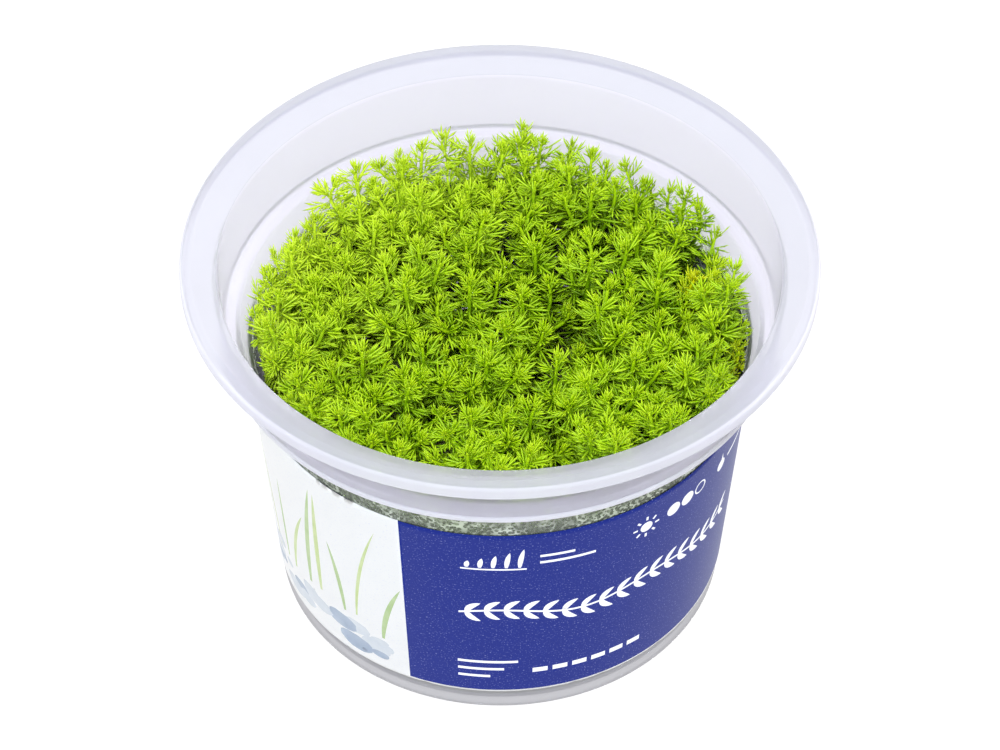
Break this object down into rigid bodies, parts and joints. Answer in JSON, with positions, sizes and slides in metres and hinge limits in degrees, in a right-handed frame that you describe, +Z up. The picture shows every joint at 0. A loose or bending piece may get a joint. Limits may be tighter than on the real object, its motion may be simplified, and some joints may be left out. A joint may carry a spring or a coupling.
{
  "type": "potted water milfoil in a tissue-culture cup",
  "caption": "Open translucent tissue-culture cup with a wide flange and a printed band label, filled with a dense low cushion of fine-leaved green water milfoil shoots.",
  "frame": {"origin": "middle of the cup's foot, on the surface that the cup stands on", "axes": "+Z up the cup's axis, out of its mouth; the front of the printed label faces -Y; +X to the right seen from the front"},
  "size_m": [0.1, 0.1, 0.067],
  "materials": {
    "cup_plastic": "translucent milky polypropylene with a faint lilac cast, satin, 0.9 mm wall",
    "label_film": "glossy printed film, dark blue with one white panel and small white marks",
    "gel": "clear wet nutrient gel with a faint straw tint",
    "leaf": "thin soft living leaves and stems, bright yellow-green, satin and slightly translucent"
  },
  "bodies": {
    "root": {"cup": "cup_plastic", "label": "label_film", "culture_gel": "gel", "shoot_01": "leaf", "shoot_02": "leaf", "shoot_03": "leaf", "shoot_04": "leaf", "shoot_05": "leaf", "shoot_06": "leaf", "shoot_07": "leaf", "shoot_08": "leaf", "shoot_09": "leaf", "shoot_10": "leaf", "shoot_11": "leaf", "shoot_12": "leaf", "shoot_13": "leaf", "shoot_14": "leaf", "shoot_15": "leaf", "shoot_16": "leaf", "shoot_17": "leaf", "shoot_18": "leaf", "shoot_19": "leaf", "shoot_20": "leaf", "shoot_21": "leaf", "shoot_22": "leaf", "shoot_23": "leaf", "shoot_24": "leaf", "shoot_25": "leaf", "shoot_26": "leaf", "shoot_27": "leaf", "shoot_28": "leaf", "shoot_29": "leaf", "shoot_30": "leaf", "shoot_31": "leaf", "shoot_32": "leaf", "shoot_33": "leaf", "shoot_34": "leaf", "shoot_35": "leaf", "shoot_36": "leaf", "shoot_37": "leaf", "shoot_38": "leaf", "shoot_39": "leaf", "shoot_40": "leaf", "shoot_41": "leaf", "shoot_42": "leaf", "shoot_43": "leaf", "shoot_44": "leaf", "shoot_45": "leaf", "shoot_46": "leaf", "shoot_47": "leaf", "shoot_48": "leaf", "shoot_49": "leaf", "shoot_50": "leaf"}
  },
  "joints": []
}
